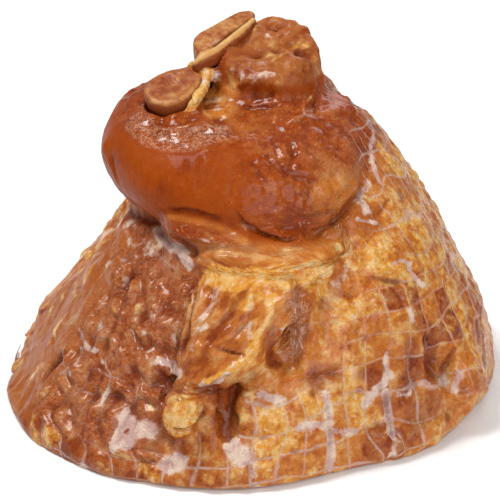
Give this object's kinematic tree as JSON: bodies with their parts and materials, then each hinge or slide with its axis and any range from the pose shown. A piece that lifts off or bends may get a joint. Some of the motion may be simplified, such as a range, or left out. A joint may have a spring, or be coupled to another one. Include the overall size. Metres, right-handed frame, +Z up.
{
  "type": "smoked ham hock",
  "caption": "Smoked ham hock standing on its wide cut face, with a rolled rind collar, a hanging flap of fat and sawn bone ends at the top.",
  "frame": {"origin": "centre of the footprint, on the flat cut face that the hock stands on", "axes": "+Z up along the shank towards the bone ends, +X to the right and +Y to the back as seen from the side with the hanging flap"},
  "size_m": [0.1982, 0.202, 0.1426],
  "materials": {
    "smoked_meat": "moist smoked meat, fat and rind, mottled red-brown and gold, satin to glossy",
    "sawn_bone": "smoke-tanned sawn bone with darker marrow, satin",
    "joint_cartilage": "smoke-tanned joint cartilage, moist satin"
  },
  "bodies": {
    "root": {"meat_and_rind": "smoked_meat", "heel_bone": "sawn_bone", "shin_bone": "sawn_bone", "joint_bone": "joint_cartilage"}
  },
  "joints": []
}
